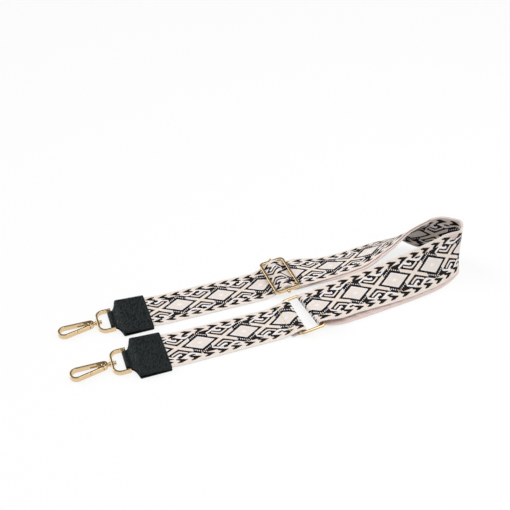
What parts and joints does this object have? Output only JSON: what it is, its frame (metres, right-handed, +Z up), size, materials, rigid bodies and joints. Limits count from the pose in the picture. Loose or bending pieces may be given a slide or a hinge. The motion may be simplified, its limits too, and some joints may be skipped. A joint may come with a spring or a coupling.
{
  "type": "bag strap",
  "caption": "Adjustable woven bag strap with a black, white and tan diamond pattern, leather tabs, a ring, a slider and swivel snap hooks, lying folded.",
  "frame": {"origin": "middle of the underside of the box round the strap as it lies folded", "axes": "+X along the straight runs, from the hooks towards the bend; +Y from the run with the ring to the run with the slider; +Z up"},
  "size_m": [0.4784, 0.1256, 0.0527],
  "materials": {
    "webbing": "jacquard-woven, matt, patterned in black, white, tan and pink",
    "leather": "pebbled, semi-matt black",
    "gilt": "polished pale gold plating",
    "spring_steel": "drawn wire"
  },
  "bodies": {
    "long_strap": {"long_webbing": "webbing", "inner_strand": "webbing", "outer_strand": "webbing"},
    "slider": {"slider_frame": "gilt", "slider_bar": "gilt", "slider_webbing": "webbing", "webbing_end_loop": "webbing"},
    "rear_end": {"rear_webbing": "webbing", "rear_tab": "leather"},
    "ring": {"ring": "gilt"},
    "front_end": {"short_webbing": "webbing", "front_tab": "leather"},
    "front_eye": {"front_eye": "gilt"},
    "front_hook": {"front_hook": "gilt", "front_gate_pin": "gilt", "front_gate_spring": "spring_steel", "front_washer": "gilt"},
    "front_gate": {"front_gate": "gilt"},
    "rear_eye": {"rear_eye": "gilt"},
    "rear_hook": {"rear_hook": "gilt", "rear_gate_pin": "gilt", "rear_gate_spring": "spring_steel", "rear_washer": "gilt"},
    "rear_gate": {"rear_gate": "gilt"}
  },
  "joints": [
    {"name": "slider_slide", "type": "slide", "parent": "long_strap", "child": "slider", "axis": [-1, 0, 0], "range_m": [-0.03, 0.05], "deforming": ["inner_strand", "outer_strand"]},
    {"name": "rear_end_slide", "type": "slide", "parent": "slider", "child": "rear_end", "axis": [1, 0, 0], "range_m": [-0.06, 0.1], "deforming": ["rear_webbing"]},
    {"name": "ring_tilt", "type": "hinge", "parent": "long_strap", "child": "ring", "pos_m": [0.03351, -0.03375, 0.00831], "axis": [0, 1, 0], "range_deg": [-70, 70]},
    {"name": "front_tilt", "type": "hinge", "parent": "ring", "child": "front_end", "pos_m": [0.00536, -0.03375, 0.00385], "axis": [0, 1, 0], "range_deg": [-60, 60]},
    {"name": "front_eye_swing", "type": "hinge", "parent": "front_end", "child": "front_eye", "pos_m": [-0.17814, -0.03375, 0.003], "axis": [0, 1, 0], "range_deg": [-90, 90]},
    {"name": "front_swivel", "type": "hinge", "parent": "front_eye", "child": "front_hook", "pos_m": [-0.19424, -0.03375, 0.003], "axis": [1, 0, 0], "continuous": true},
    {"name": "front_gate_opens", "type": "hinge", "parent": "front_hook", "child": "front_gate", "pos_m": [-0.20174, -0.03375, 0.003], "axis": [0, 0, -1], "range_deg": [0, 28], "stiffness_Nm_per_rad": 0.02, "springref_deg": -17.19, "deforming": ["front_gate_spring"]},
    {"name": "rear_eye_swing", "type": "hinge", "parent": "rear_end", "child": "rear_eye", "pos_m": [-0.18084, 0.03205, 0.003], "axis": [0, 1, 0], "range_deg": [-90, 90]},
    {"name": "rear_swivel", "type": "hinge", "parent": "rear_eye", "child": "rear_hook", "pos_m": [-0.19694, 0.03205, 0.003], "axis": [1, 0, 0], "continuous": true},
    {"name": "rear_gate_opens", "type": "hinge", "parent": "rear_hook", "child": "rear_gate", "pos_m": [-0.20444, 0.03205, 0.003], "axis": [0, 0, -1], "range_deg": [0, 28], "stiffness_Nm_per_rad": 0.02, "springref_deg": -17.19, "deforming": ["rear_gate_spring"]}
  ],
  "couplings": [
    {"joint": "rear_end_slide", "follows": "slider_slide", "ratio": 2}
  ]
}
